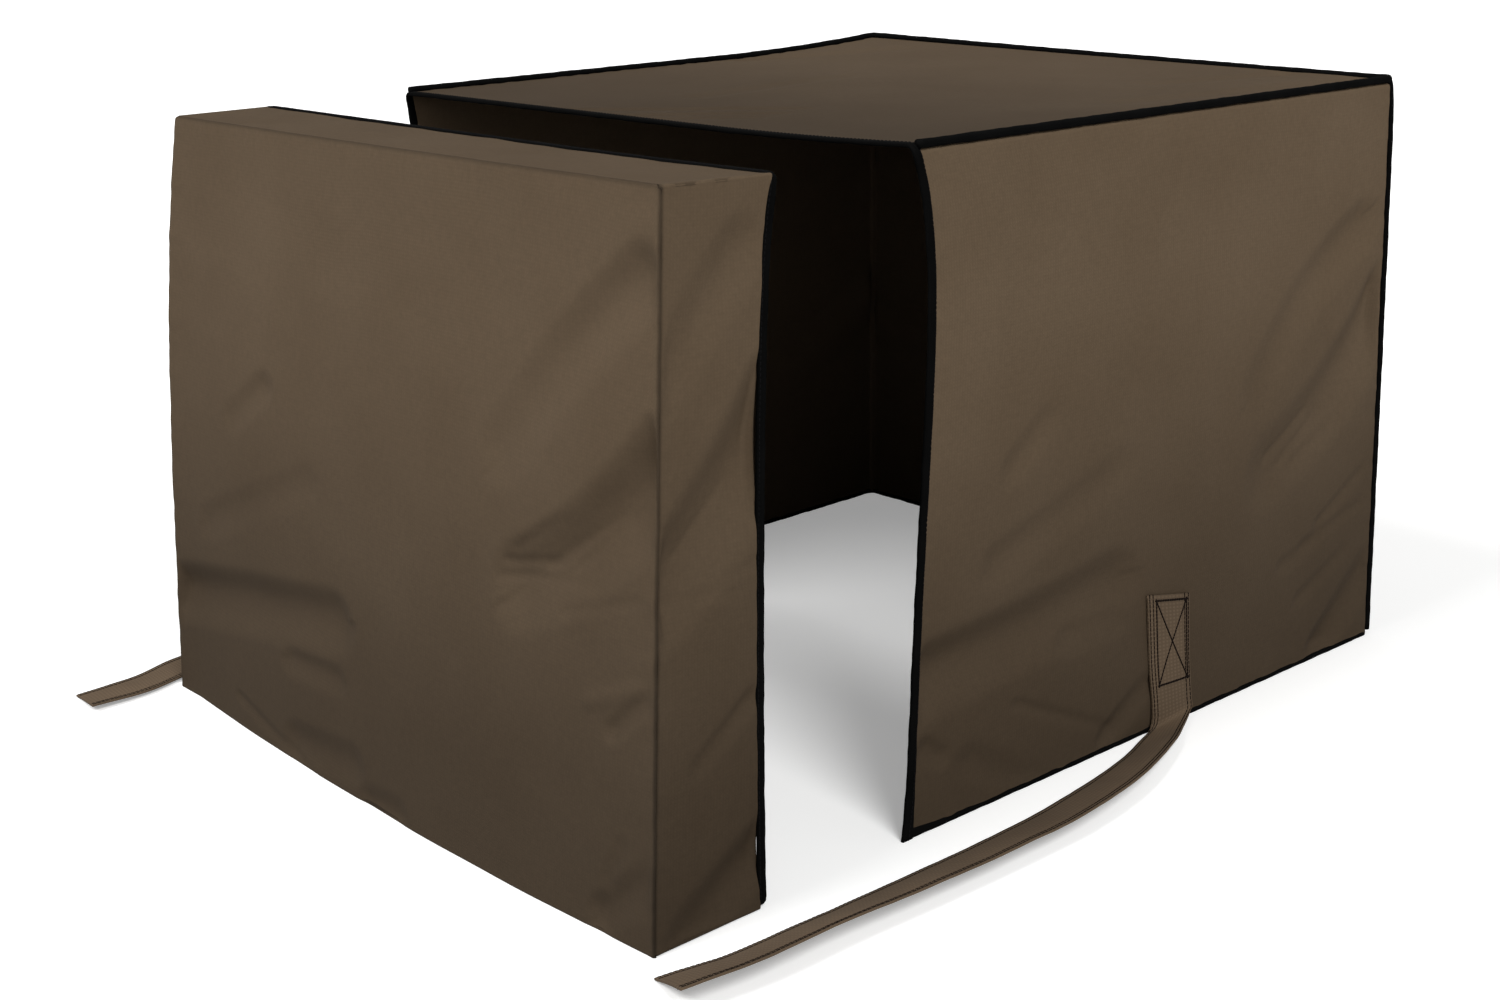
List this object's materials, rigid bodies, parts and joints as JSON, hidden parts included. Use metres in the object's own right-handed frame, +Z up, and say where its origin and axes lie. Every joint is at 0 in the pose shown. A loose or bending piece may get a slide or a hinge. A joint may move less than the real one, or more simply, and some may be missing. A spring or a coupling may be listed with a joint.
{
  "type": "air conditioner cover",
  "caption": "Two-piece fitted cloth cover with a shallow front cap and a deep rear cover, black bindings and a webbing strap on each side.",
  "frame": {"origin": "middle of the underside of the rear cover's top panel, where the panel rests on the machine that it covers", "axes": "+Z up, +Y from the front cap to the back of the rear cover, +X to the right when the front cap is looked at from the front"},
  "size_m": [0.7872, 0.9123, 0.4995],
  "materials": {
    "brown_cloth": "matte woven polyester",
    "black_binding": "black woven binding",
    "brown_webbing": "matte woven webbing"
  },
  "bodies": {
    "root": {"cap_front_panel": "brown_cloth", "cap_top_gusset": "brown_cloth", "cap_right_gusset": "brown_cloth", "cap_left_gusset": "brown_cloth", "cap_bottom_gusset": "brown_cloth", "cap_mouth_binding": "black_binding", "rear_top_panel": "brown_cloth", "rear_right_panel": "brown_cloth", "rear_left_panel": "brown_cloth", "rear_back_panel": "brown_cloth", "rear_mouth_binding": "black_binding", "rear_hem_binding": "black_binding", "rear_top_piping": "black_binding", "rear_right_corner_piping": "black_binding", "rear_left_corner_piping": "black_binding", "right_strap": "brown_webbing", "left_strap": "brown_webbing"}
  },
  "joints": []
}
